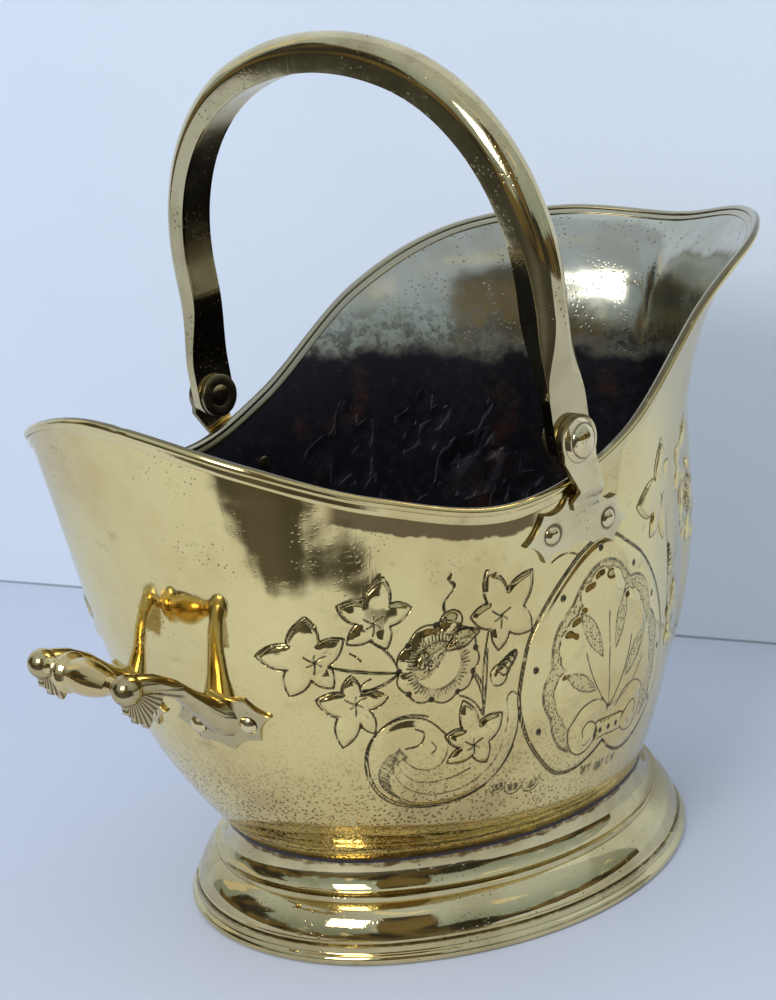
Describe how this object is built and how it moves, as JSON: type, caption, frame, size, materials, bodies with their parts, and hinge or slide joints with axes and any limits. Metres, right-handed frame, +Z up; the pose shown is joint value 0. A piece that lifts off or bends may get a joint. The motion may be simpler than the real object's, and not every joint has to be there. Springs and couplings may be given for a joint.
{
  "type": "coal scuttle",
  "caption": "Helmet coal scuttle in sheet brass with an oval moulded foot, a swinging bail on riveted brackets and a turned grip behind.",
  "frame": {"origin": "on the ground under the centre of the oval foot", "axes": "+X towards the pouring lip, +Y towards the left side, +Z up"},
  "size_m": [0.4682, 0.2838, 0.4414],
  "materials": {
    "body_sheet": "polished, hammered and chased",
    "edging": "polished",
    "foot": "polished",
    "bail": "polished with darkened flanks",
    "fittings": "cast and filed",
    "rivets": "polished",
    "inner_brass": "tarnished"
  },
  "bodies": {
    "scuttle": {"body_shell": "body_sheet", "rim_edging": "edging", "bottom_plate": "inner_brass", "foot_ring": "foot", "bail_bracket_left": "fittings", "bail_bracket_right": "fittings", "pivot_rivet_left": "rivets", "pivot_rivet_right": "rivets", "pivot_washer_left": "fittings", "pivot_washer_right": "fittings", "bracket_rivets_left": "rivets", "bracket_rivets_right": "rivets", "rear_arm_left": "fittings", "rear_arm_right": "fittings", "rear_grip": "fittings", "grip_rod": "inner_brass", "handle_rivets_left": "rivets", "handle_rivets_right": "rivets"},
    "bail": {"bail_shell": "bail", "bail_strip": "bail"}
  },
  "joints": [
    {"name": "bail_swing", "type": "hinge", "parent": "scuttle", "child": "bail", "pos_m": [-0.028, 0, 0.24905], "axis": [0, 1, 0], "range_deg": [-69, 68]}
  ]
}
